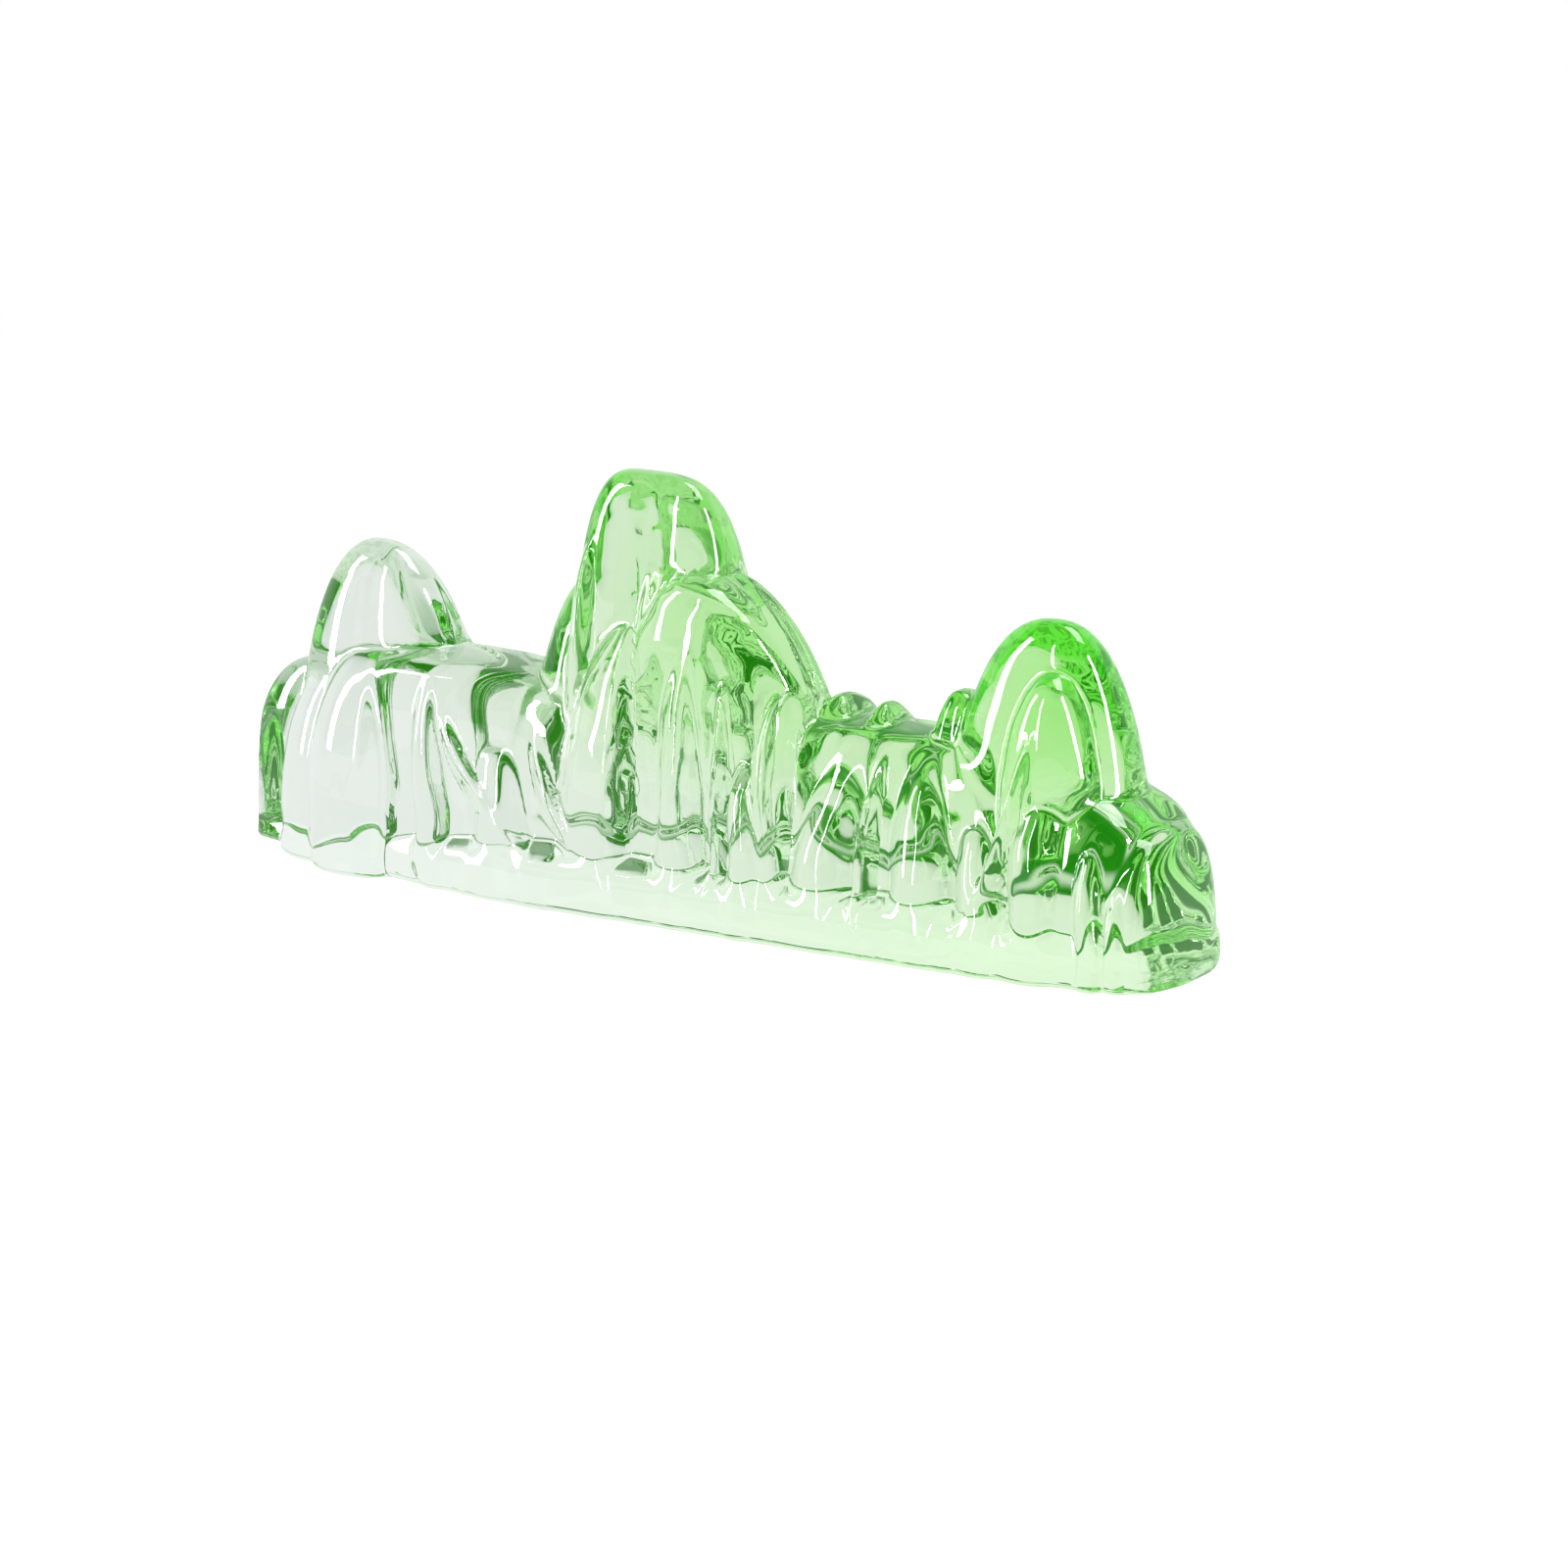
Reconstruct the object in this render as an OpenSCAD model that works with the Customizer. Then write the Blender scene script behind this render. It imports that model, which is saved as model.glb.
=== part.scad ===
// Brush rest of solid pressed glass, shaped as a row of three mountains with a saddle on each side of the
// middle peak. The body is one closed solid: every upright section through it is drawn round the middle line
// of the base, and its outline is the filleted union of rock crags that each start, swell and end along the row.

/* [Body] */
// Length of the base along the row of peaks
body_l = 100; // [80:1:130]
// Depth of the base from front to back
body_w = 23; // [18:0.5:32]
// Height of the middle peak above the table
body_h = 40; // [35:0.5:55]
// Height of the smooth foot under the rock columns
foot_h = 5.6; // [3:0.1:8]
// Rounding of the edge that the foot stands on
foot_edge = 0.9; // [0.3:0.1:2]

/* [Left peak] */
// Length of the row that the rocks of the left peak spread over
left_peak_l = 50; // [40:0.5:56]
// Height of the left peak above the table
left_peak_h = 30.3; // [24:0.1:34]
// Distance of the left peak from the left end
left_peak_from_end = 12.6; // [10:0.1:15]

/* [Middle peak] */
// Length of the row that the rocks of the middle peak spread over
middle_peak_l = 40; // [32:0.5:48]
// Place of the middle peak from the middle of the base
middle_peak_x = -8; // [-11:0.1:2]

/* [Right peak] */
// Length of the row that the rocks of the right peak spread over
right_peak_l = 25; // [20:0.5:30]
// Height of the right peak above the table
right_peak_h = 31; // [24:0.1:34]
// Distance of the right peak from the right end
right_peak_from_end = 15.1; // [12:0.1:18]

/* [Saddles] */
// Height of the ridge in the two saddles, where the handle of a brush lies
saddle_h = 19.8; // [14:0.2:23]
// Length of the row that the rocks of the right saddle spread over
right_saddle_l = 25; // [20:0.5:30]
// Place of the rocks in the right saddle from the middle of the base
right_saddle_x = 20; // [16:0.2:23]

/* [Surface] */
// Fillet in the creases where two crags meet
crease = 1.5; // [0.5:0.1:3]
// Way that the folds sway to either side as they hang down
sway = 0.5; // [0:0.1:1]
// Sections along the body
sections = 142; // [60:2:150]
// Steps round each section, from the front edge over the top to the back edge
section_steps = 40; // [24:2:42]

/* [Hidden] */

// Each row is one crag:
// [place, reach to the left, reach to the right, depth in front, depth behind, top, lean of its foot,
//  roundness of its outline along the row, squareness of its section, softness of its joint]
// Places, reaches and leans are shares of the length that the group is given, and places count from the place
// of the group. Depths are shares of the body's depth, and tops are shares of the height that the group is
// given. Softness is how many crease fillets wide the joint to the crags before it is.
ridge_shares = [
    [0, 0.459, 0.47, 0.36, 0.36, 1, 0, 4, 3.2, 2],                // wall that joins the three peaks
    [0, 0.44, 0.45, 0.2, 0.42, 0.6, 0, 5, 3.6, 1],                // apron of the back face
];
left_peak_shares = [
    [0, 0.168, 0.238, 0.29, 0.33, 1, 0, 2.205, 2.3, 3],           // smooth dome
    [0.052, 0.24, 0.394, 0.3, 0.34, 0.77, 0, 1.662, 2.6, 3],      // apron of the dome, down to the saddle
    [-0.11, 0.176, 0.16, 0.14, 0.42, 0.601, 0, 2.702, 2.8, 1.5],  // shoulder at the left end
    [-0.04, 0.14, 0.09, 0.2, 0.43, 0.63, 0, 2.4, 3.4, 1.5],       // columns of the back face
    [0.14, 0.1, 0.1, 0.2, 0.42, 0.66, 0.04, 2.4, 3.6, 1],
    [0.33, 0.1, 0.1, 0.2, 0.43, 0.55, -0.04, 2.4, 3.6, 1],
    [0.16, 0.22, 0.51, 0.39, 0.1, 0.699, 0, 3.2, 6, 0.7],         // curtain in front, down to the saddle
    [0.06, 0.15, 0.088, 0.478, 0.2, 0.71, 0, 2.6, 4.5, 1],        // broad front column
    [0.2, 0.052, 0.068, 0.455, 0.1, 0.67, 0.04, 2.4, 4.5, 1],     // fold of the curtain
    [0.184, 0.048, 0.056, 0.452, 0.1, 0.61, 0.3, 2.2, 4.6, 1],    // fold that slides to the right
    [-0.06, 0.13, 0.1, 0.36, 0.2, 0.62, 0, 2, 3, 1],              // flank at the left end
];
middle_peak_shares = [
    [0.005, 0.165, 0.27, 0.27, 0.33, 1, 0, 3.9, 2.4, 3],          // steep dome
    [-0.1225, 0.1775, 0.2, 0.33, 0.36, 0.754, 0, 1.874, 2.8, 2.5],  // left shoulder
    [0.17, 0.275, 0.3375, 0.32, 0.28, 0.74, 0, 1.533, 3, 2.5],    // right shoulder
    [-0.0875, 0.1375, 0.125, 0.2, 0.43, 0.7, 0, 2.4, 3.8, 1],     // columns of the back face
    [0.01, 0.075, 0.07, 0.2, 0.365, 0.93, 0, 2.2, 3, 1],          // rib behind the dome
    [0.1375, 0.125, 0.1375, 0.2, 0.41, 0.74, 0, 2.4, 3.8, 1],
    [0.375, 0.1125, 0.125, 0.2, 0.43, 0.5, 0, 2.4, 3.8, 1],
    [-0.09, 0.06, 0.055, 0.32, 0.2, 0.86, 0, 2.2, 3.4, 0.8],      // ribs on the front of the dome
    [0.085, 0.08, 0.085, 0.32, 0.2, 0.85, 0, 2, 3, 1],
    [0.1875, 0.2375, 0.4025, 0.41, 0.1, 0.794, 0, 1.958, 6, 0.7],  // curtain with the long falling crest
    [-0.2825, 0.11, 0.125, 0.46, 0.2, 0.42, 0.025, 2.4, 3.6, 1],  // low rock at the left foot
    [0.0425, 0.2375, 0.0825, 0.478, 0.2, 0.7, 0, 1.9, 4.2, 1],    // tall front column
    [0.215, 0.095, 0.09, 0.466, 0.1, 0.75, 0.015, 2.2, 5, 1],     // broad fold
    [0.325, 0.04, 0.04, 0.458, 0.1, 0.71, 0, 2, 4, 1],            // narrow fold
    [0.3875, 0.085, 0.105, 0.488, 0.1, 0.42, 0.025, 2.2, 3.6, 1],  // drop at the foot of the narrow fold
    [0.45, 0.075, 0.075, 0.455, 0.1, 0.56, 0.025, 2.2, 4.6, 1],   // last fold under the falling crest
];
right_saddle_shares = [
    [-0.272, 0.16, 0.136, 0.2, 0.38, 1.088, 0, 2.2, 2.4, 1],      // boulders on the back edge
    [-0.088, 0.104, 0.112, 0.2, 0.3, 1.078, 0, 2.2, 2.4, 1],
    [0.216, 0.136, 0.24, 0.2, 0.38, 1.181, 0, 2.2, 2.4, 1],
    [-0.12, 0.176, 0.144, 0.485, 0.1, 0.93, -0.08, 2.4, 3, 1],    // three front rocks
    [0.128, 0.144, 0.144, 0.474, 0.1, 0.93, 0, 2.4, 3, 1],
    [0.36, 0.16, 0.144, 0.482, 0.1, 0.84, 0.048, 2.4, 2.8, 1],
];
right_peak_shares = [
    [0, 0.412, 0.384, 0.29, 0.33, 1, 0, 2.368, 2.3, 3],           // smooth dome
    [0.16, 0.2, 0.44, 0.43, 0.42, 0.543, 0, 2.4, 3.4, 2],         // rocks at the right end
    [0.464, 0.12, 0.132, 0.39, 0.3, 0.429, 0, 2.4, 3.4, 1.5],
    [-0.06, 0.224, 0.2, 0.2, 0.43, 0.775, 0, 2.4, 3.8, 1],        // columns of the back face
    [0.3, 0.184, 0.2, 0.2, 0.43, 0.465, 0, 2.4, 3.8, 1.5],
    [0.08, 0.24, 0.248, 0.38, 0.1, 0.876, 0, 2.2, 4.8, 0.7],      // crag in front of the dome
    [0.096, 0.096, 0.104, 0.385, 0.1, 0.83, 0, 2, 4, 1],          // fold on the crag
    [0.108, 0.064, 0.072, 0.45, 0.1, 0.76, -0.312, 2.2, 4.6, 1],  // fold that slides to the left
    [0.12, 0.176, 0.176, 0.486, 0.2, 0.56, 0, 2.3, 4.4, 1],       // low front column
    [0.312, 0.088, 0.104, 0.462, 0.1, 0.44, 0.032, 2.2, 4, 1],    // rocks at the foot of the right end
    [0.432, 0.072, 0.088, 0.43, 0.1, 0.33, 0, 2.2, 4, 1],
];
foot_shares = [
    [-0.14, 0.4, 0.45, 0.475, 0.492, 1, 0, 1.185, 3, 2],          // long taper at the left end
    [0.1, 0.45, 0.4, 0.482, 0.487, 1, 0, 3.84, 3, 2],             // blunt right end
];

// How the sections crowd towards the two ends, where the outline turns fastest
end_crowding = 1.3;
// How the steps round a section crowd towards the foot and the crest, from 0 for even steps to under 1
step_crowding_share = 0.6;
// Waves of sway down a fold and along the body: a long one and a short one of half its width
long_sway_waves = [5, 3.66];
short_sway_waves = [11, -6.53];
short_sway_share = 0.5;

// Rows of one group in millimetres, from the place, the length and the height of the group
function in_mm(shares, place, length, height) = [for (s = shares) [
    place + s[0] * length, s[1] * length, s[2] * length,
    s[3] * body_w, s[4] * body_w, s[5] * height, s[6] * length, s[7], s[8], s[9] * crease]];

crags = concat(
    in_mm(ridge_shares, 0, body_l, saddle_h),
    in_mm(left_peak_shares, left_peak_from_end - body_l / 2, left_peak_l, left_peak_h),
    in_mm(middle_peak_shares, middle_peak_x, middle_peak_l, body_h),
    in_mm(right_saddle_shares, right_saddle_x, right_saddle_l, saddle_h),
    in_mm(right_peak_shares, body_l / 2 - right_peak_from_end, right_peak_l, right_peak_h),
    in_mm(foot_shares, 0, body_l, foot_h));

// Swell of a crag along the row: 1 over its place, falling to 0 where u reaches 1
function swell(u, roundness) = u >= 1 ? 0 : pow(1 - pow(u, roundness), 1 / roundness);

// Reach of one crag from the middle line of the base, at station x and angle a up from the front edge
function crag_radius(c, x, a) =
    let (from_place = x - c[0] - c[6] * pow(cos(a), 2),
         u = from_place < 0 ? -from_place / c[1] : from_place / c[2],
         depth = cos(a) > 0 ? c[3] : c[4])
    swell(u, c[7]) * pow(pow(abs(cos(a)) / depth, c[8]) + pow(sin(a) / c[5], c[8]), -1 / c[8]);

// Larger of two radii, with a fillet where they are close; a small crag takes a smaller share of the fillet
function join(r, s, fillet) =
    let (inside = max(fillet - abs(r - s), 0) * min(s / fillet, 1))
    max(r, s) + pow(inside, 2) / (4 * fillet);

// Reach of all crags from number i on, joined in turn to the reach r of those before
function joined(near, x, a, i, r) = i == len(near) ? r :
    joined(near, x, a, i + 1, join(r, crag_radius(near[i], x, a), near[i][9]));

// Crags that a station cuts, with room for the lean of their feet and the sway
function crags_at(x) = [for (c = crags)
    let (room = abs(c[6]) + (1 + short_sway_share) * sway)
    if (x > c[0] - c[1] - room && x < c[0] + c[2] + room) c];

// One wave of sway at angle a and at a share of the body's length from the middle
function wave(waves, a, share) = sin(waves[0] * a + 360 * waves[1] * share);

// How far the folds sway at station x and angle a, which dies out at the crest and at the ends
function sway_at(x, a) =
    let (share = x / body_l)
    sway * pow(cos(a), 2) * (1 - pow(2 * share, 4))
        * (wave(long_sway_waves, a, share) + short_sway_share * wave(short_sway_waves, a, share));

// Angle of step i round a section
function step_angle(i) =
    let (s = i / section_steps)
    180 * (s - step_crowding_share * sin(720 * s) / (4 * PI));

// Outline of the section at station x as [y, z] points
function section(x) =
    let (near = crags_at(x))
    [for (i = [0:section_steps])
        let (a = step_angle(i), r = joined(near, x + sway_at(x, a), a, 0, 0))
        [-r * cos(a), r * sin(a)]];

// How far the rounded edge stands in at height z
function edge_in(z) = let (below = max(foot_edge - z, 0)) foot_edge - sqrt(pow(foot_edge, 2) - pow(below, 2));

// Point moved in by the rounded edge that it stands on, never over the middle
function rounded(y, z) = [y - sign(y) * min(edge_in(z), abs(y)), z];

// Station of section i, closer together towards the ends
function station(i) =
    let (t = 2 * i / (sections + 1) - 1)
    sign(t) * (1 - pow(1 - abs(t), end_crowding)) * body_l / 2;

// Solid through a row of sections, closed by a point at each end and a flat base
module loft(stations, outlines, left_end, right_end) {
    rings = len(outlines);
    ring = len(outlines[0]);
    last = ring - 1;
    points = concat(
        [for (k = [0:rings - 1]) for (p = outlines[k]) [stations[k], p[0], p[1]]],
        [left_end, right_end]);
    left_tip = rings * ring;
    right_tip = left_tip + 1;
    far = (rings - 1) * ring;
    skin = [for (k = [0:rings - 2]) for (i = [0:last - 1])
        let (a = k * ring + i, b = a + ring)
        each [[a, a + 1, b + 1], [a, b + 1, b]]];
    base = [for (k = [0:rings - 2])
        let (a = k * ring, b = a + ring)
        each [[a, b, b + last], [a, b + last, a + last]]];
    left_cap = [for (i = [0:last - 1]) [left_tip, i + 1, i]];
    right_cap = [for (i = [0:last - 1]) [right_tip, far + i, far + i + 1]];
    tips = [[left_tip, 0, last], [right_tip, far + last, far]];
    polyhedron(points = points, faces = concat(skin, base, left_cap, right_cap, tips));
}

// The one casting: its sections are fitted to the depth and height that the rest is sold by
module glass_body() {
    stations = [for (i = [1:sections]) station(i)];
    raw = [for (x = stations) section(x)];
    fit_z = body_h / max([for (s = raw) for (p = s) p[1]]);
    edged = [for (s = raw) [for (p = s) rounded(p[0], max(p[1], 0) * fit_z)]];
    front = min([for (s = edged) for (p = s) p[0]]);
    back = max([for (s = edged) for (p = s) p[0]]);
    middle = (front + back) / 2;
    fit_y = body_w / (back - front);
    outlines = [for (s = edged) [for (p = s) [(p[0] - middle) * fit_y, p[1]]]];
    color([0.66, 0.92, 0.55])
        loft(stations, outlines, [-body_l / 2, -middle * fit_y, 0], [body_l / 2, -middle * fit_y, 0]);
}

glass_body();
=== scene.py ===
# %% [markdown]
# # A brush rest of pressed glass
# The rest is one solid casting of glass: a row of three mountains on a smooth foot, with a saddle on each
# side of the tallest peak. There is nothing to assemble, so the whole lesson is about two things: a shape
# that gives glass something to bend, and a clear material whose green deepens along the row.

# %% load the frame
import math

import bpy
import numpy as np
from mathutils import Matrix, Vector


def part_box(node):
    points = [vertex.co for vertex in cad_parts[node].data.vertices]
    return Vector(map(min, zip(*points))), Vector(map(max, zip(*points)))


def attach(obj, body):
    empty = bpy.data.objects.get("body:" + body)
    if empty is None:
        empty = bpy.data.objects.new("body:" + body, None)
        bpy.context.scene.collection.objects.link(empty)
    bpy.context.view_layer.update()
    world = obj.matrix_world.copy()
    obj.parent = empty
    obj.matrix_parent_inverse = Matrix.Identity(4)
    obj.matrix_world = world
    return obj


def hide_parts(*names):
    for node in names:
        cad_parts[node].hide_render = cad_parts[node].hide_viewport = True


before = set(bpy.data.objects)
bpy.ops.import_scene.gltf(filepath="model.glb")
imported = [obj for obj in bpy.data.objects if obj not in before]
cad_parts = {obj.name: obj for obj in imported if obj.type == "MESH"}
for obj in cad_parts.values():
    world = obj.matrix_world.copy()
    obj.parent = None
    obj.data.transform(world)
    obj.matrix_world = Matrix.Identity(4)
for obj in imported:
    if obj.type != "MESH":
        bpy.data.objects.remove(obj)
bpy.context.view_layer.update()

low, high = (np.array(corner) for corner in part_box("glass_body"))
LENGTH, DEPTH, HEIGHT = high - low
print(f"casting {LENGTH * 1000:.1f} x {DEPTH * 1000:.1f} x {HEIGHT * 1000:.1f} mm")

# %% [markdown]
# ## The camera
# The photograph is taken from a little above the table and from the right of the row. Its distance was found
# from how much smaller the far end looks, so the lens follows from that distance. The object sits left of and
# above the middle of the picture, which a small shift of the lens gives without turning the camera.

# %% camera
PICTURE = 1600                         # pixels on each side of the picture
SENSOR = 36.0                          # mm
AIM = np.array([0.0, 0.0, 0.016])      # metres, the point that the camera and the lamps face
AIM_PIXEL = (732.5, 749.5)             # where that point lies in the picture, from its left and its top
DISTANCE = 0.650                       # metres from the camera to AIM
AZIMUTH, ELEVATION = math.radians(30.9), math.radians(13.9)
PIXELS_PER_METRE = 11080.0             # at AIM
NEAREST, FARTHEST = 0.01, 100          # metres between which the camera sees

towards_camera = np.array([
    math.sin(AZIMUTH) * math.cos(ELEVATION),
    -math.cos(AZIMUTH) * math.cos(ELEVATION),
    math.sin(ELEVATION),
])


def look_along(obj, place, target):
    """Puts obj at place with its -Z axis towards target and its Y axis up."""
    way = Vector(target) - Vector(place)
    obj.location = place
    obj.rotation_euler = way.to_track_quat("-Z", "Y").to_euler()


camera_data = bpy.data.cameras.new("camera")
camera = bpy.data.objects.new("camera", camera_data)
bpy.context.scene.collection.objects.link(camera)
look_along(camera, AIM + DISTANCE * towards_camera, AIM)
camera_data.sensor_width = SENSOR
camera_data.lens = PIXELS_PER_METRE * DISTANCE * SENSOR / PICTURE
camera_data.shift_x = (PICTURE / 2 - AIM_PIXEL[0]) / PICTURE
camera_data.shift_y = (AIM_PIXEL[1] - PICTURE / 2) / PICTURE
camera_data.clip_start, camera_data.clip_end = NEAREST, FARTHEST
bpy.context.scene.camera = camera
print(f"lens {camera_data.lens:.1f} mm")

# %% [markdown]
# ## The rock forms
# Each mountain is a bundle of rock columns that swell out of a common wall. It could be sculpted by hand, but
# then no size could be changed later. Here one column, called a crag, is a rounded block that starts, swells
# and ends along the row, and one line of numbers describes it. The crags come in groups, one for each
# mountain and one each for the ridge, the right saddle and the foot.

# %% groups of crags
GROUPS = {}
TOP, SOFTNESS = 5, 9                   # where these two stand in a crag's row


def group(name, place, height, crags):
    """Keeps a group of crags under its name. Its place is a share of the length, its height of the height.
    A crag is a row of numbers:
    [place, reach left, reach right, depth in front, depth behind, top, lean, roundness, squareness, softness]
    Places, reaches and leans are shares of the length, depths of the depth and tops of the group's height.
    Softness is how many crease fillets wide the joint to the crags before it is."""
    GROUPS[name] = (place, height, crags)
    top = height * HEIGHT * max(crag[TOP] for crag in crags)
    print(f"{name}: {len(crags)} crags around x {1000 * place * LENGTH:.0f} mm, up to {1000 * top:.1f} mm")


# %% [markdown]
# ## The ridge
# The peaks aren't separate pieces. A low wall of glass joins them, and a broad apron behind it keeps the back
# face closed. Both run nearly the whole length, so every other crag grows out of solid glass.

# %% ridge
group("ridge", 0, 0.495, [
    [0, 0.459, 0.47, 0.36, 0.36, 1, 0, 4, 3.2, 2],                  # wall that joins the three peaks
    [0, 0.44, 0.45, 0.2, 0.42, 0.6, 0, 5, 3.6, 1],                  # apron of the back face
])

# %% [markdown]
# ## The left mountain
# It is the clearest one: a smooth dome, and in front of it a curtain of rock that hangs down to the left
# saddle. The photograph shows no back, so the columns there are a guess after those in front.

# %% left peak
group("left peak", -0.374, 0.7575, [
    [0, 0.084, 0.119, 0.29, 0.33, 1, 0, 2.205, 2.3, 3],             # smooth dome
    [0.026, 0.12, 0.197, 0.3, 0.34, 0.77, 0, 1.662, 2.6, 3],        # apron of the dome, down to the saddle
    [-0.055, 0.088, 0.08, 0.14, 0.42, 0.601, 0, 2.702, 2.8, 1.5],   # shoulder at the left end
    [-0.02, 0.07, 0.045, 0.2, 0.43, 0.63, 0, 2.4, 3.4, 1.5],        # columns of the back face
    [0.07, 0.05, 0.05, 0.2, 0.42, 0.66, 0.02, 2.4, 3.6, 1],
    [0.165, 0.05, 0.05, 0.2, 0.43, 0.55, -0.02, 2.4, 3.6, 1],
    [0.08, 0.11, 0.255, 0.39, 0.1, 0.699, 0, 3.2, 6, 0.7],          # curtain in front, down to the saddle
    [0.03, 0.075, 0.044, 0.478, 0.2, 0.71, 0, 2.6, 3.2, 1],         # broad front column
    [0.1, 0.026, 0.034, 0.455, 0.1, 0.67, 0.02, 2.4, 4.5, 1],       # fold of the curtain
    [0.092, 0.024, 0.028, 0.452, 0.1, 0.61, 0.15, 2.2, 4.6, 1],     # fold that slides to the right
    [0.2, 0.02, 0.024, 0.43, 0.1, 0.61, 0.1, 2.2, 3.6, 1],          # folds of the left saddle
    [0.25, 0.026, 0.03, 0.4, 0.1, 0.63, 0.02, 2.2, 2.6, 1],
    [-0.03, 0.065, 0.05, 0.36, 0.2, 0.62, 0, 2, 3, 1],              # flank at the left end
])

# %% [markdown]
# ## The middle mountain
# The tallest one is a steep dome between two shoulders, and from it the crest of a long curtain falls to the
# right. Its tall front column and the folds beside it reach almost to the front edge of the foot.

# %% middle peak
group("middle peak", -0.08, 1, [
    [0.002, 0.066, 0.108, 0.27, 0.33, 1, 0, 3.9, 2.4, 3],           # steep dome
    [-0.049, 0.071, 0.08, 0.33, 0.36, 0.754, 0, 1.874, 2.4, 0.8],   # left shoulder
    [0.068, 0.11, 0.135, 0.3, 0.36, 0.74, 0, 1.533, 1.8, 2.5],      # right shoulder
    [-0.035, 0.055, 0.05, 0.2, 0.43, 0.54, 0, 2.4, 3, 1],           # column of the back face
    [0.004, 0.03, 0.028, 0.2, 0.365, 0.93, 0, 2.2, 3, 1],           # ribs behind the dome and the shoulders
    [-0.055, 0.02, 0.02, 0.2, 0.39, 0.72, 0, 2.2, 2.4, 1],
    [-0.02, 0.016, 0.016, 0.2, 0.4, 0.88, 0, 2.2, 2.4, 1],
    [0.04, 0.016, 0.014, 0.2, 0.41, 0.8, 0, 2.2, 2.6, 1],
    [0.1, 0.018, 0.018, 0.2, 0.42, 0.64, 0.01, 2.2, 2.6, 1],
    [0.055, 0.05, 0.055, 0.2, 0.41, 0.6, 0, 2.4, 3, 1],             # two more columns of the back face
    [0.15, 0.045, 0.05, 0.2, 0.43, 0.4, 0, 2.4, 3, 1],
    [-0.036, 0.024, 0.022, 0.32, 0.2, 0.86, 0, 2.2, 3.4, 0.8],      # ribs on the front of the dome
    [0.034, 0.032, 0.034, 0.32, 0.2, 0.85, 0, 2, 3, 1],
    [0.075, 0.095, 0.161, 0.37, 0.1, 0.794, 0, 1.958, 6, 0.7],      # curtain with the long falling crest
    [-0.113, 0.044, 0.05, 0.46, 0.2, 0.42, 0.01, 2.4, 3.6, 1],      # low rock at the left foot
    [0.017, 0.095, 0.033, 0.478, 0.2, 0.7, 0, 1.9, 2.8, 1],         # tall front column
    [0.086, 0.038, 0.036, 0.466, 0.1, 0.75, 0.006, 2.2, 2.8, 1],    # broad fold
    [0.13, 0.016, 0.016, 0.458, 0.1, 0.71, 0, 2, 2.6, 1],           # narrow fold
    [0.155, 0.034, 0.042, 0.488, 0.1, 0.42, 0.01, 2.2, 3.6, 1],     # drop at the foot of the narrow fold
    [0.18, 0.03, 0.03, 0.455, 0.1, 0.56, 0.01, 2.2, 4.6, 1],        # last fold under the falling crest
])

# %% [markdown]
# ## The right saddle
# It is one of the two dips that the rest is made for. Round rocks stand in front of it and boulders behind,
# and all of them stay low, so the saddle is open from front to back.

# %% right saddle
group("right saddle", 0.2, 0.495, [
    [-0.068, 0.04, 0.034, 0.2, 0.38, 1.088, 0, 2.2, 2.4, 2.5],      # boulders on the back edge
    [-0.022, 0.026, 0.028, 0.2, 0.3, 1.078, 0, 2.2, 2.4, 2.5],
    [0.054, 0.034, 0.06, 0.2, 0.38, 1.181, 0, 2.2, 2.4, 2.5],
    [-0.024, 0.056, 0.05, 0.478, 0.1, 0.92, -0.02, 2.2, 2.6, 2],    # three front rocks
    [0.048, 0.05, 0.046, 0.47, 0.1, 0.95, 0.02, 2.2, 2.6, 1.5],
    [0.1, 0.036, 0.036, 0.478, 0.1, 0.74, 0.03, 2.2, 2.8, 1],
    [0.006, 0.016, 0.016, 0.47, 0.1, 0.93, 0, 2, 3, 1],             # rib between two of them
])

# %% [markdown]
# ## The right mountain
# The greenest one is a smooth dome with a single crag before it. A fold slides to the left down the crag, and
# the mountain steps down at the end of the row in low rocks.

# %% right peak
group("right peak", 0.349, 0.775, [
    [0, 0.103, 0.096, 0.29, 0.33, 1, 0, 2.368, 2.3, 3],             # smooth dome
    [0.04, 0.05, 0.11, 0.43, 0.42, 0.543, 0, 2.4, 3.4, 2],          # rocks at the right end
    [0.116, 0.03, 0.033, 0.39, 0.3, 0.429, 0, 2.4, 3.4, 1.5],
    [-0.015, 0.056, 0.05, 0.2, 0.37, 0.55, 0, 2.4, 3, 1],           # columns of the back face
    [0.075, 0.046, 0.05, 0.2, 0.35, 0.4, 0, 2.4, 3, 1.5],
    [0.012, 0.028, 0.032, 0.2, 0.37, 0.86, 0, 2.2, 3, 1],           # rib behind the dome
    [0.02, 0.06, 0.062, 0.38, 0.1, 0.876, 0, 2.2, 4.8, 0.7],        # crag in front of the dome
    [0.02, 0.018, 0.02, 0.405, 0.1, 0.83, 0, 2, 4, 1],              # fold on the crag
    [0.027, 0.016, 0.018, 0.45, 0.1, 0.76, -0.078, 2.2, 4.6, 1],    # fold that slides to the left
    [0.03, 0.044, 0.044, 0.486, 0.2, 0.56, 0, 2.3, 4.4, 1],         # low front column
    [0.078, 0.022, 0.026, 0.462, 0.1, 0.44, 0.008, 2.2, 4, 1],      # rocks at the foot of the right end
    [0.108, 0.018, 0.022, 0.43, 0.1, 0.33, 0, 2.2, 4, 1],
])

# %% [markdown]
# ## The foot
# A smooth band runs round the bottom of all the rock and is the only part that touches the table. It tapers
# to a long point at the left and is blunt at the right. A high squareness makes its sides upright.

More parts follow.
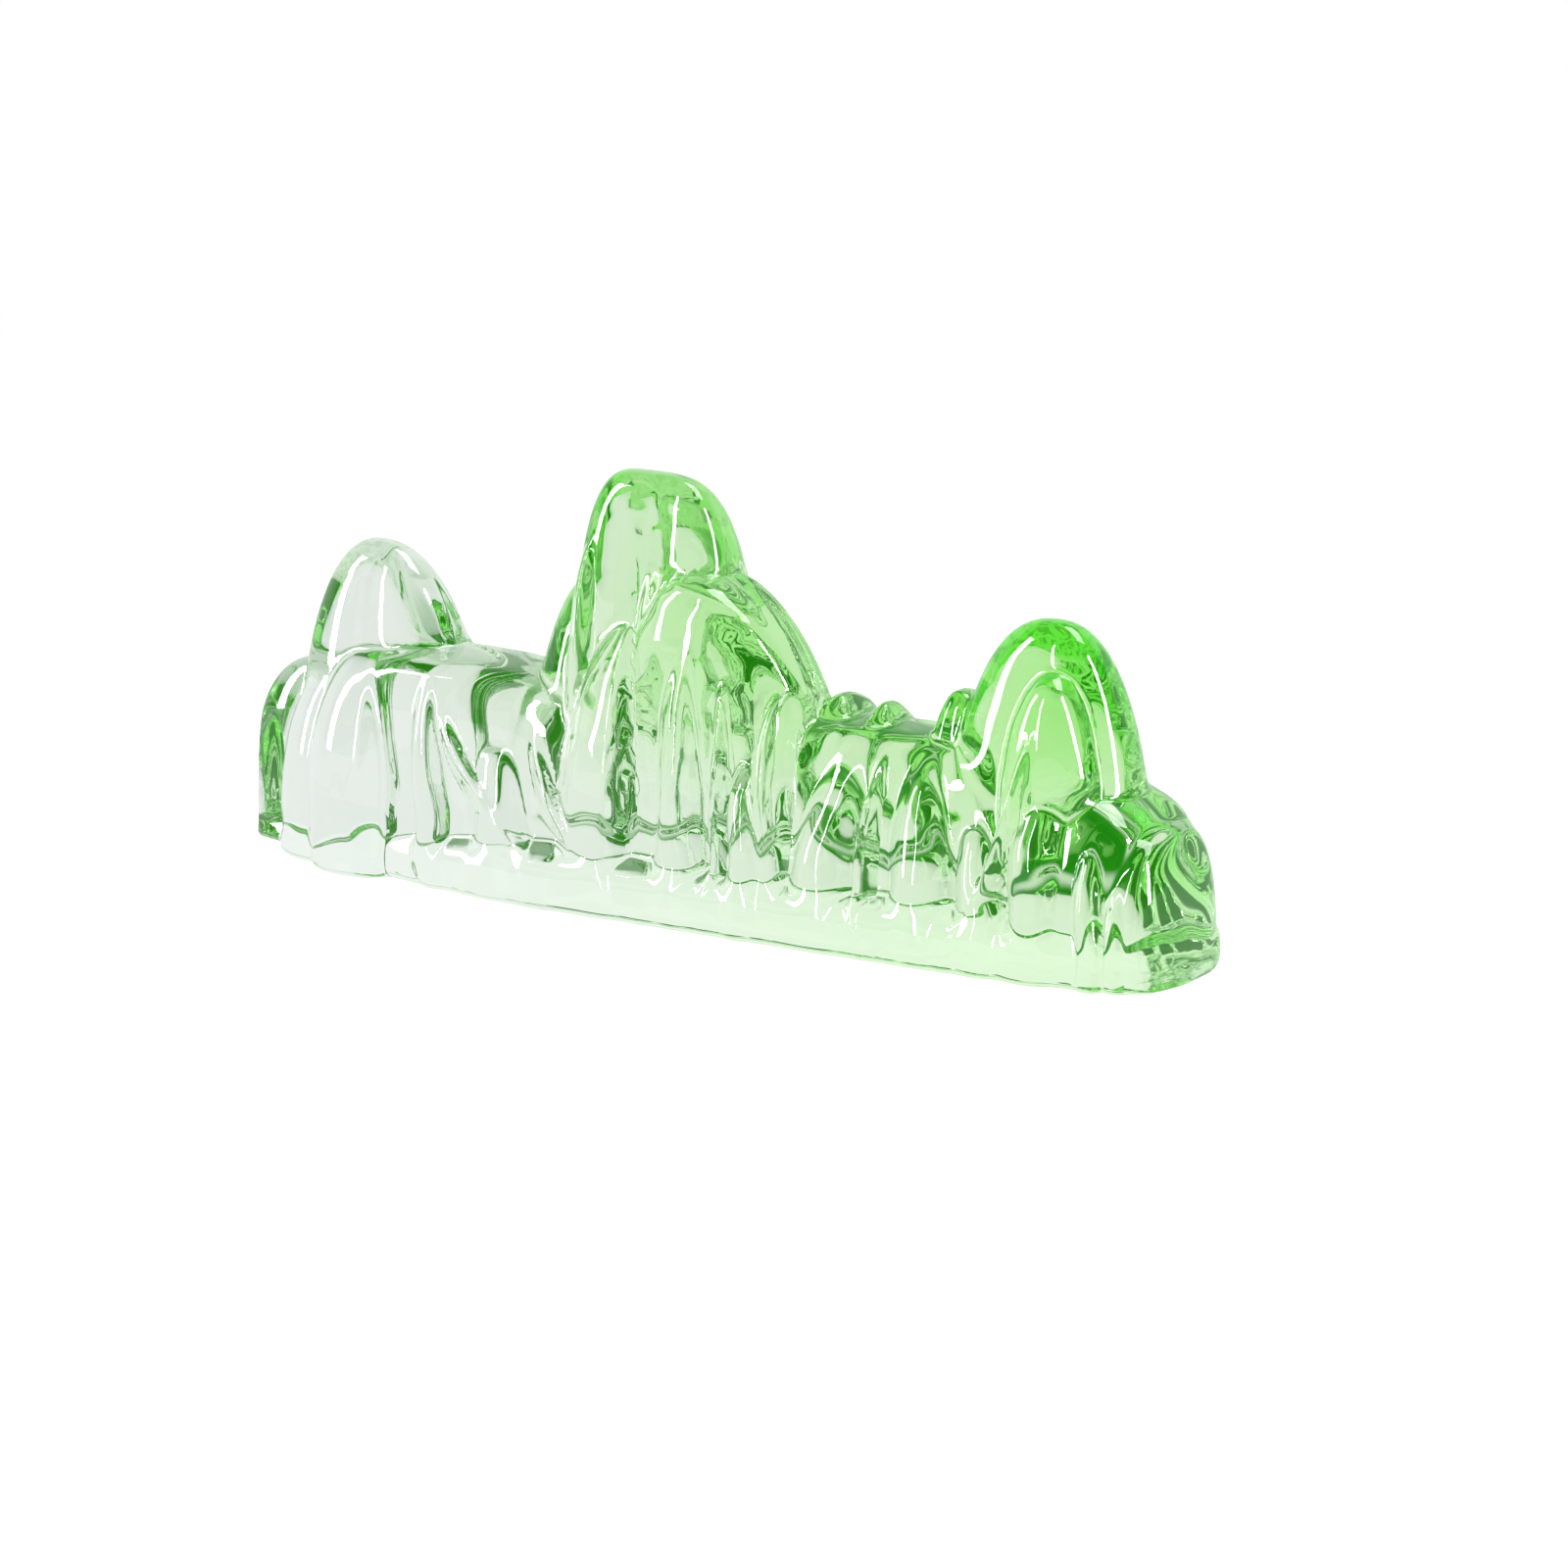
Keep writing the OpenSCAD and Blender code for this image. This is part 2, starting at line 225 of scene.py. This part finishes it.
# %% foot
group("foot", 0, 0.14, [
    [-0.14, 0.4, 0.45, 0.5, 0.492, 1, 0, 1.185, 6, 2.5],            # long taper at the left end
    [0.1, 0.45, 0.4, 0.5, 0.487, 1, 0, 3.84, 6, 2.5],               # blunt right end
    [0.37, 0.3, 0.12, 0.2, 0.485, 1.7, 0, 3, 2, 2],                 # bank that slopes up behind the right end
])

# %% [markdown]
# ## The shape of a crag
# The casting stands on a flat base, so its upright section at any station along the row is a fan of rays from
# the middle line of the base. A crag is told by how long each ray is. That makes joining crags as easy as
# comparing two numbers, which a union of meshes never is.

# %% one crag


def crag_radius(row, place, height, x, up):
    """How far one crag reaches from the middle line of the base, at station x and angle up from the front.
    Two numbers are multiplied. The swell along the row is the n-th root of 1 - u^n, where u is the way from
    the crag's place as a share of its reach, and n its roundness. The radius of the section, a rounded box,
    is 1 over the m-th root of (cos / depth)^m + (sin / top)^m, where m is its squareness."""
    at, left, right, front, back, top, lean, roundness, squareness, _ = row
    from_place = x - (place + at) * LENGTH - lean * LENGTH * np.cos(up) ** 2
    u = np.abs(from_place) / (np.where(from_place < 0, left, right) * LENGTH)
    swell = np.maximum(1 - u ** roundness, 0) ** (1 / roundness)
    depth = np.where(np.cos(up) > 0, front, back) * DEPTH
    flat = np.abs(np.cos(up)) / depth
    tall = np.sin(up) / (top * height * HEIGHT)
    return swell * (flat ** squareness + tall ** squareness) ** (-1 / squareness)


peak_place, peak_height, peak_crags = GROUPS["middle peak"]
dome_top = crag_radius(peak_crags[0], peak_place, peak_height, peak_place * LENGTH, math.pi / 2)
print(f"the middle dome reaches {1000 * dome_top:.1f} mm up")

# %% [markdown]
# ## A crease with a fillet
# Two neighbours meet in a crease, as wet clay figures do before the mould is taken from them. Glass pressed
# in that mould has no knife edge in a crease, and a sharp one would show as a hard black line. So where two
# crags are nearly as long as each other, the joint is filled a little.

# %% joint of two crags
CREASE_FILLET = 0.0006                 # metres


def joined(a, b, fillet):
    """The larger of two radii, and where they are closer than the fillet, h^2 / (4 fillet) more, where h is
    how far inside the fillet they are. A crag with a small radius takes a smaller share of it."""
    h = np.maximum(fillet - np.abs(a - b), 0) * np.minimum(b / fillet, 1)
    return np.maximum(a, b) + h * h / (4 * fillet)


crease = joined(DEPTH / 2, DEPTH / 2, CREASE_FILLET) - DEPTH / 2
print(f"a crease is filled by {1000 * crease:.2f} mm")

# %% [markdown]
# ## The ripple of the skin
# Clear glass with even faces looks like plastic. The swirls inside the real rest come from its uneven faces,
# most of all the far one, which is seen through the whole block. So the front has only a faint ripple, which
# keeps the reflections of the lamps long, and the back has a strong one.

# %% ripple
FRONT_RIPPLE = 0.0009                  # shares of the length
BACK_RIPPLE = 0.005
DOME_LUMPS = 0.016


def ramp(value, start, end):
    """0 up to start, 1 from end on, and a straight slope between them."""
    return np.clip((value - start) / (end - start), 0, 1)


def ripple(share, rise, up):
    """How much longer a ray is, as a share of the length, at a share of the length, a share of the height and
    an angle up. Rings are sines along the row times sines up the rock, and each sine is bent by a slower one.
    Lumps are shorter waves, only on the domes. All of it dies out at the foot, the crest and the ends. The
    numbers in the sines are radians over the length or the height, picked so that no wave repeats another."""
    above_foot = ramp(rise, 0.15, 0.35)
    off_the_ends = ramp(np.abs(share), 0.5, 0.44) * np.maximum(ramp(share, 0.46, 0.38), 0.3)
    off_the_crest = ramp(np.cos(up) ** 2, 0, 0.08)
    behind = ramp(-np.cos(up), 0, 0.25) * ramp(share, -0.3, -0.1) * np.maximum(ramp(share, 0.32, 0.22), 0.4)
    rings = (np.sin(67 * share + 1.8 * np.sin(23 * rise)) * np.sin(21 * rise + 3 * np.sin(29 * share))
             + 0.25 * np.sin(103 * share - 2.5 * np.sin(37 * rise)))
    lumps = ramp(rise, 0.6, 0.8) * np.sin(97 * share + 2 * np.sin(41 * rise)) * np.sin(61 * rise)
    rings_size = FRONT_RIPPLE * ramp(share, -0.25, 0) + BACK_RIPPLE * behind
    lumps_size = DOME_LUMPS * (0.25 + behind)
    return above_foot * off_the_ends * off_the_crest * (rings_size * rings + lumps_size * lumps)


front_mm, back_mm = 1000 * LENGTH * FRONT_RIPPLE, 1000 * LENGTH * BACK_RIPPLE
print(f"rings of {front_mm:.2f} mm in front and {back_mm:.2f} mm behind")

# %% [markdown]
# ## The skin of the casting
# All the crags are joined station by station, on one grid. A shallow sway keeps the folds from hanging quite
# straight. Last, the skin is fitted to the frame's box, and its lower edge is rounded, as fire polishing
# leaves it.

# %% skin of the casting
STATIONS, STEPS = 440, 200
END_CROWDING = 1.3                     # over 1, the stations lie closer together at the two ends
STEP_CROWDING = 0.6                    # over 0, the steps lie closer together in front, on top and behind
SWAY = 0.005                           # share of the length
FOOT_EDGE = 0.0009                     # metres, the radius of the foot's lower edge


def casting_surface(stations, steps):
    """Points [station, step, xyz] of the skin. Each station sways by a sum of sines, the crags' radii there
    are joined with fillets, and the ripple is added. Then y and z are the radius times the cosine and the
    sine of the angle, fitted to the depth and the height."""
    t = np.linspace(-1, 1, stations + 2)[1:-1]
    x = np.sign(t) * (1 - (1 - np.abs(t)) ** END_CROWDING) * LENGTH / 2
    s = np.linspace(0, 1, steps + 1)
    up = np.pi * (s - STEP_CROWDING * np.sin(4 * np.pi * s) / (4 * np.pi))
    x, up = np.meshgrid(x, up, indexing="ij")
    share = x / LENGTH
    hang = np.cos(up) ** 2 * (1 - (2 * share) ** 4)
    sway = SWAY * LENGTH * hang * (np.sin(5 * up + 23 * share) + 0.5 * np.sin(11 * up - 41 * share))
    radius = np.zeros_like(x)
    for place, height, crags in GROUPS.values():
        for row in crags:
            reach = crag_radius(row, place, height, x + sway, up)
            radius = joined(radius, reach, row[SOFTNESS] * CREASE_FILLET)
    radius += LENGTH * ripple(share, radius * np.sin(up) / HEIGHT, up)
    y, z = -radius * np.cos(up), radius * np.abs(np.sin(up))
    z = z * HEIGHT / z.max()
    below = np.maximum(FOOT_EDGE - z, 0)
    y -= np.sign(y) * np.minimum(FOOT_EDGE - np.sqrt(FOOT_EDGE ** 2 - below ** 2), np.abs(y))
    y = (y - (y.min() + y.max()) / 2) * DEPTH / (y.max() - y.min())
    return np.stack([x, y, z], axis=-1)


skin = casting_surface(STATIONS, STEPS)
print("skin", skin.shape, "lowest and highest", skin.min((0, 1)), skin.max((0, 1)))

# %% [markdown]
# ## From a grid of points to a closed mesh
# Glass is only glass if its skin is closed: light has to know when it is inside. The skin is a grid of
# points, the base is a row of strips from the front edge to the back edge, and a point closes each end.
# Shading is smooth, except along edges that turn more than the sharp angle, as at the rim of the base.

# %% closed mesh
SHARP = math.radians(50)


def closed_mesh(name, skin):
    """A mesh from a grid of points over the base: skin faces, base strips and the two ends."""
    rings, ring = skin.shape[:2]
    number = np.arange(rings * ring).reshape(rings, ring)
    middle = (skin[0, 0, 1] + skin[0, -1, 1]) / 2
    tips = np.array([[-LENGTH / 2, middle, 0], [LENGTH / 2, middle, 0]])
    left, right = rings * ring, rings * ring + 1
    a, b = number[:-1], number[1:]
    skin_faces = np.stack([a[:, :-1], b[:, :-1], b[:, 1:], a[:, 1:]], -1).reshape(-1, 4)
    base_faces = np.stack([a[:, 0], a[:, -1], b[:, -1], b[:, 0]], -1)
    first, last = np.append(number[0], number[0, 0]), np.append(number[-1], number[-1, 0])
    left_faces = np.stack([np.full(ring, left), first[:-1], first[1:]], -1)
    right_faces = np.stack([np.full(ring, right), last[1:], last[:-1]], -1)
    mesh = bpy.data.meshes.new(name)
    mesh.from_pydata(np.vstack([skin.reshape(-1, 3), tips]).tolist(), [],
                     [f.tolist() for part in (skin_faces, base_faces, left_faces, right_faces) for f in part])
    mesh.polygons.foreach_set("use_smooth", np.ones(len(mesh.polygons), bool))
    mesh.set_sharp_from_angle(angle=SHARP)
    mesh.update()
    return mesh


casting = bpy.data.objects.new("glass_casting", closed_mesh("glass_casting", skin))
bpy.context.scene.collection.objects.link(casting)
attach(casting, "root")
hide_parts("glass_body")
print(len(casting.data.polygons), "faces")

# %% [markdown]
# ## Writing a material as a sum
# A small class wraps a node's socket, so that a mask is written as an expression and Blender gets the Math
# nodes. Anything else comes from one method that takes a node's type, its settings and its sockets. Two nodes
# are used so often here that they get a short name of their own: a smooth step and a mix of two colours.
# Outputs come back in the node's own order, and a number that picks a later one has a name.

# %% shader maths
FACTOR, COLOUR_A, COLOUR_B, MIXED_COLOUR = 0, 6, 7, 2        # inputs and output of Mix, when it mixes colours


class Wire:
    """A node socket with arithmetic: an expression on wires adds the Math nodes that work it out."""

    def __init__(self, tree, socket):
        self.tree, self.socket = tree, socket

    def maths(self, operation, *values):
        return self.tree.node("ShaderNodeMath", {"operation": operation}, values)[0]

    def __add__(self, other):
        return self.maths("ADD", self, other)

    def __sub__(self, other):
        return self.maths("SUBTRACT", self, other)

    def __rsub__(self, other):
        return self.maths("SUBTRACT", other, self)

    def __mul__(self, other):
        return self.maths("MULTIPLY", self, other)

    def __abs__(self):
        return self.maths("ABSOLUTE", self)

    __radd__, __rmul__ = __add__, __mul__

    def clamped(self):
        return self.tree.node("ShaderNodeClamp", {}, [self])[0]


class Tree:
    """The node tree of a material or the world, emptied for new nodes."""

    def __init__(self, owner):
        owner.use_nodes = True
        owner.node_tree.nodes.clear()
        self.nodes, self.links = owner.node_tree.nodes, owner.node_tree.links

    def node(self, kind, settings=None, sockets=()):
        """Adds one node, sets it up, feeds its sockets and returns its outputs as wires."""
        made = self.nodes.new(kind)
        for key, value in (settings or {}).items():
            setattr(made, key, value)
        pairs = sockets.items() if isinstance(sockets, dict) else enumerate(sockets)
        for key, value in pairs:
            if isinstance(value, Wire):
                self.links.new(value.socket, made.inputs[key])
            elif value is not None:
                made.inputs[key].default_value = value
        return [Wire(self, s) for s in made.outputs]

    def smooth_step(self, value, start, end, least=0.0, most=1.0):
        """least up to start and most from end on, with a soft change between them."""
        settings = {"interpolation_type": "SMOOTHSTEP"}
        return self.node("ShaderNodeMapRange", settings, [value, start, end, least, most])[0]

    def mix(self, share, one, other):
        """The first colour where share is 0 and the other where it is 1."""
        sockets = {FACTOR: share, COLOUR_A: one, COLOUR_B: other}
        return self.node("ShaderNodeMix", {"data_type": "RGBA"}, sockets)[MIXED_COLOUR]


print("wires can be added, subtracted, multiplied and clamped")

# %% [markdown]
# ## Where the glass is green
# Such a block can be made by pressing a gather of clear glass and one of green together while both are soft,
# and then the green runs out along it. So one mask grows along the row. A second one grows upwards, because
# in the photograph the peaks are strong in colour and the foot is nearly clear. Both read Object coordinates,
# in metres.

# %% masks of the green
OBJECT = 3                                       # output of Texture Coordinate
GREEN_STARTS, GREEN_IS_FULL = -0.042, 0.046      # metres along the row
FOOT_LEVEL, PEAK_LEVEL = 0.006, 0.030            # metres above the table
GREEN_AT_FOOT, GREEN_AT_PEAK = 0.07, 0.95


def green_masks(tree):
    """Two smooth steps: how green the glass is along the row, and what share of that it has up the rock."""
    place = tree.node("ShaderNodeTexCoord")[OBJECT]
    x, _, z = tree.node("ShaderNodeSeparateXYZ", {}, [place])
    along = tree.smooth_step(x, GREEN_STARTS, GREEN_IS_FULL)
    aloft = tree.smooth_step(z, FOOT_LEVEL, PEAK_LEVEL, GREEN_AT_FOOT, GREEN_AT_PEAK)
    return along, aloft


print(f"green starts at x {1000 * GREEN_STARTS:.0f} mm and is full at {1000 * GREEN_IS_FULL:.0f} mm")

# %% [markdown]
# ## The skin of the glass
# The skin only lets light in and bends it, with a tint that adds a little colour where the block is thin. A
# path tracer gives glass a dark shadow, unlike real glass, which gathers light on the table. So the skin is
# nearly transparent to shadow rays.

# %% skin of the glass
CLEAR_TINT, GREEN_TINT = (0.92, 0.94, 0.935, 1), (0.90, 0.99, 0.86, 1)
LIGHT_LET_THROUGH = (0.92, 0.96, 0.90, 1)
GLASS_IOR = 1.5
IS_SHADOW = 1                                    # output of Light Path


def glass_skin(tree, along):
    """Smooth glass whose tint goes from clear to green, and a clear film to shadow rays."""
    glass = tree.node("ShaderNodeBsdfPrincipled", {}, {
        "Base Color": tree.mix(along, CLEAR_TINT, GREEN_TINT),
        "Roughness": 0.0,
        "IOR": GLASS_IOR,
        "Transmission Weight": 1.0,
    })[0]
    film = tree.node("ShaderNodeBsdfTransparent", {}, {"Color": LIGHT_LET_THROUGH})[0]
    is_shadow_ray = tree.node("ShaderNodeLightPath")[IS_SHADOW]
    return tree.node("ShaderNodeMixShader", {}, [is_shadow_ray, glass, film])[0]


print("the skin bends light with an index of", GLASS_IOR)

# %% [markdown]
# ## The inside of the glass
# Colour inside glass is absorption: a long way through green glass is greener than a short one, so the thick
# peaks grow deep and the thin edges stay pale by themselves. Paint on the skin can't do that. The inside is a
# mix of a pale glass and a deep green one, by the two masks.

# %% inside of the glass
PALE_GLASS, PALE_DENSITY = (0.45, 0.90, 0.40, 1), 5.0
DEEP_GLASS, DEEP_DENSITY = (0.34, 0.96, 0.0, 1), 105.0


def glass_finish():
    """The skin, filled with absorption that goes from pale to deep along the row and up the rock."""
    material = bpy.data.materials.new("gradient glass")
    tree = Tree(material)
    along, aloft = green_masks(tree)
    pale = tree.node("ShaderNodeVolumeAbsorption", {}, {"Color": PALE_GLASS, "Density": PALE_DENSITY})[0]
    deep = tree.node("ShaderNodeVolumeAbsorption", {}, {"Color": DEEP_GLASS, "Density": DEEP_DENSITY})[0]
    inside = tree.node("ShaderNodeMixShader", {}, [along * aloft, pale, deep])[0]
    tree.node("ShaderNodeOutputMaterial", {}, {"Surface": glass_skin(tree, along), "Volume": inside})
    return material


casting.data.materials.append(glass_finish())
print(casting.data.materials[0].name, "with", len(casting.data.materials[0].node_tree.nodes), "nodes")

# %% [markdown]
# ## Enough bounces
# Light is turned back many times inside the block before it leaves, and a ray that runs out of bounces turns
# black. So glass needs more bounces than other finishes. The Standard view shows the colours as they are.

# %% bounces and view
BOUNCES = 24
bpy.context.scene.view_settings.view_transform = "Standard"
bpy.context.scene.cycles.max_bounces = BOUNCES
bpy.context.scene.cycles.glossy_bounces = BOUNCES
bpy.context.scene.cycles.transmission_bounces = BOUNCES
print("light bounces up to", bpy.context.scene.cycles.max_bounces, "times")

# %% [markdown]
# ## The table
# The photograph's table is plain white and has no edge in the picture. A big square does that, a hair below
# the base, so that the two never share a plane.

# %% table top
TABLE_SIZE, TABLE_DROP = 20.0, 0.0001            # metres


def plane(name, size, z):
    """A square of side size at height z."""
    h = size / 2
    mesh = bpy.data.meshes.new(name)
    mesh.from_pydata([(-h, -h, z), (h, -h, z), (h, h, z), (-h, h, z)], [], [(0, 1, 2, 3)])
    obj = bpy.data.objects.new(name, mesh)
    bpy.context.scene.collection.objects.link(obj)
    return obj


floor = plane("table", TABLE_SIZE, -TABLE_DROP)
print("table", tuple(round(size, 1) for size in floor.dimensions))

# %% [markdown]
# ## Light under the glass
# Glass shows what lies behind and below it. The real one throws bright and dark veins on the table under
# itself, which would take a path tracer very long to find. So they are painted: light that turns green along
# the row, dark veins from a noise, and a dark strip near the back edge, where the block shades the table.

# %% light under the glass
SEEN_THROUGH_GLASS = (0.92, 0.92, 0.92, 1)       # the table outside the painted light
CLEAR_LIGHT, GREEN_LIGHT = (0.82, 0.87, 0.80, 1), (0.50, 0.90, 0.36, 1)
LIGHT_IS_CLEAR, LIGHT_IS_GREEN = -0.045, 0.025   # metres along the row
# colour of the painted shade under the glass: the dark veins and the shadow strip near the back edge
PAINTED_SHADE = (0.02, 0.25, 0.01, 1)
END_INSIDE, END_OUTSIDE = 0.047, 0.050           # metres from the middle, where the light ends
SIDE_INSIDE, SIDE_OUTSIDE = 0.009, 0.0115
STRIP_STARTS, STRIP_IS_DARK = 0.003, 0.007       # metres behind the middle line
VEINS = {"Scale": 260.0, "Detail": 1.0, "Distortion": 2.5}
VEIN_EDGE, VEIN_CORE, VEIN_SHARE = 0.52, 0.62, 0.5
DARK_AT_CLEAR_END = 0.3                          # share of the darkness at the green end


def light_under_glass(tree, place):
    """The colour of the table as the glass shows it: a mix of clear and green light along the row, then of
    that and the dark, whose share is the strip plus the veins, and plain grey outside the base."""
    x, y, _ = tree.node("ShaderNodeSeparateXYZ", {}, [place])
    along = tree.smooth_step(x, LIGHT_IS_CLEAR, LIGHT_IS_GREEN)
    base_x = tree.smooth_step(abs(x), END_OUTSIDE, END_INSIDE)
    base_y = tree.smooth_step(abs(y), SIDE_OUTSIDE, SIDE_INSIDE)
    strip = tree.smooth_step(y, STRIP_STARTS, STRIP_IS_DARK)
    swirl = tree.node("ShaderNodeTexNoise", {}, {"Vector": place, **VEINS})[0]
    veins = tree.smooth_step(swirl, VEIN_EDGE, VEIN_CORE)
    strength = along * (1 - DARK_AT_CLEAR_END) + DARK_AT_CLEAR_END
    dark = (strip + veins * VEIN_SHARE).clamped() * strength
    light = tree.mix(along, CLEAR_LIGHT, GREEN_LIGHT)
    return tree.mix(base_x * base_y, SEEN_THROUGH_GLASS, tree.mix(dark, light, PAINTED_SHADE))


print(f"painted light {2000 * END_OUTSIDE:.0f} x {2000 * SIDE_OUTSIDE:.0f} mm")

# %% [markdown]
# ## White paper
# A table that only reflects the lamps would turn grey, so this one also glows. Near the glass it half
# reflects and half glows, which keeps a faint shadow at the foot. Farther out it only glows, and meets the
# white backdrop without a line. Rays that come from the glass see the painted light instead.

# %% table finish
WHITE = (1.0, 1.0, 1.0, 1.0)
PAPER = (0.9, 0.9, 0.9, 1)
GLOW_SHARE = 0.5                                 # near the glass
GLOW_GROWS_FROM, ONLY_GLOW_AT = 0.06, 0.30       # metres from the middle
VALUE = 1                                        # output of Vector Math that is a number
IS_GLOSSY, IS_TRANSMISSION = 3, 6                # outputs of Light Path


def from_glass(path):
    """1 for a ray that was last reflected or let through, as only the glass does here, and 0 for others."""
    return (path[IS_GLOSSY] + path[IS_TRANSMISSION]).clamped()


def table_finish():
    """Paper mixed with a glow that takes over with distance, and the painted light to rays from the glass."""
    material = bpy.data.materials.new("white table")
    tree = Tree(material)
    place = tree.node("ShaderNodeTexCoord")[OBJECT]
    distance = tree.node("ShaderNodeVectorMath", {"operation": "LENGTH"}, [place])[VALUE]
    far = tree.smooth_step(distance, GLOW_GROWS_FROM, ONLY_GLOW_AT)
    paper = tree.node("ShaderNodeBsdfDiffuse", {}, {"Color": PAPER})[0]
    glow = tree.node("ShaderNodeEmission", {}, {"Color": WHITE, "Strength": 1.0})[0]
    lit = light_under_glass(tree, place)
    painted = tree.node("ShaderNodeEmission", {}, {"Color": lit, "Strength": 1.0})[0]
    for_glass = from_glass(tree.node("ShaderNodeLightPath"))
    near = tree.node("ShaderNodeMixShader", {}, [GLOW_SHARE, paper, glow])[0]
    plain = tree.node("ShaderNodeMixShader", {}, [far, near, glow])[0]
    both = tree.node("ShaderNodeMixShader", {}, [for_glass, plain, painted])[0]
    tree.node("ShaderNodeOutputMaterial", {}, {"Surface": both})
    return material


floor.data.materials.append(table_finish())
print(floor.data.materials[0].name, "with", len(floor.data.materials[0].node_tree.nodes), "nodes")

# %% [markdown]
# ## The room
# In an all-white room glass has no contrast: every way a ray can leave is equally bright. A photographer puts
# dark cards beside the glass and light behind it. Here the rays from the glass see white only on the side
# away from the camera, and a dark green beside it and overhead, which draws the dark lines along the creases.
# The camera itself sees white, and everything else gets a soft grey light.

# %% room
ROOM_DARK = (0.03, 0.21, 0.01, 1)
CEILING_STARTS, CEILING_IS_DARK = 0.60, 0.72     # sines of the angle at which a ray rises
CEILING_SHARE = 0.75
BRIGHT_BEHIND, DARK_BESIDE = -0.35, -0.05        # cosines of a ray's angle to the way towards the camera
SOFT_STRENGTH = 0.45
GENERATED, IS_CAMERA = 0, 0                      # outputs of Texture Coordinate and of Light Path


def room():
    """A backdrop that is white to the camera, and to the glass white behind and dark beside and overhead."""
    world = bpy.data.worlds.new("room")
    bpy.context.scene.world = world
    tree = Tree(world)
    path = tree.node("ShaderNodeLightPath")
    way = tree.node("ShaderNodeTexCoord")[GENERATED]
    _, _, z = tree.node("ShaderNodeSeparateXYZ", {}, [way])
    two_ways = [way, tuple(towards_camera)]
    facing = tree.node("ShaderNodeVectorMath", {"operation": "DOT_PRODUCT"}, two_ways)[VALUE]
    overhead = tree.smooth_step(z, CEILING_STARTS, CEILING_IS_DARK, 0.0, CEILING_SHARE)
    beside = tree.smooth_step(facing, BRIGHT_BEHIND, DARK_BESIDE)
    for_glass = from_glass(path)
    dark = (overhead + beside).clamped() * for_glass * (1 - path[IS_CAMERA])
    strength = (path[IS_CAMERA] + for_glass).clamped() * (1 - SOFT_STRENGTH) + SOFT_STRENGTH
    colour = tree.mix(dark, WHITE, ROOM_DARK)
    light = tree.node("ShaderNodeBackground", {}, {"Color": colour, "Strength": strength})[0]
    tree.node("ShaderNodeOutputWorld", {}, {"Surface": light})


room()
print(bpy.context.scene.world.name, "is white away from", [round(float(part), 2) for part in towards_camera])

# %% [markdown]
# ## Soft boxes
# Polished glass shows its form by the long white reflections of tall lamps, one on each side of the camera
# and a narrow one near it. A wide one, high up behind, draws the tops of the peaks. They light the table too,
# but they aren't seen through the glass, where they would look like white blots.

# %% lights
LAMP_DISTANCE = 0.9                              # metres from AIM
TALL = 0.9                                       # metres, the height of an upright box


def soft_box(name, azimuth, elevation, width, height, power):
    """A rectangle of light that faces AIM. It is placed like the camera, by angles in degrees, and its width
    and height are in metres and its power in watts."""
    data = bpy.data.lights.new(name, "AREA")
    data.shape, data.size, data.size_y, data.energy = "RECTANGLE", width, height, power
    obj = bpy.data.objects.new(name, data)
    bpy.context.scene.collection.objects.link(obj)
    a, e = math.radians(azimuth), math.radians(elevation)
    way = np.array([math.sin(a) * math.cos(e), -math.cos(a) * math.cos(e), math.sin(e)])
    look_along(obj, AIM + LAMP_DISTANCE * way, AIM)
    obj.visible_transmission = False
    return obj


lamps = [
    soft_box("left box", -55, 20, 0.16, TALL, 10),
    soft_box("front box", -15, 25, 0.05, TALL, 6),
    soft_box("right box", 95, 20, 0.14, TALL, 12),
    soft_box("top box", 150, 65, 0.6, 0.3, 5),
]
print(len(lamps), "soft boxes with", sum(lamp.data.energy for lamp in lamps), "W")

# %% [markdown]
# ## Measure
# The glass should fill the frame's box and not pass it, so the two boxes are compared, and the lesson ends.

# %% sizes
corners = np.array(casting.bound_box)
off = np.abs([corners.min(0) - low, corners.max(0) - high]).max()
print(f"the glass is at most {1e6 * off:.1f} micrometres off the frame's box")
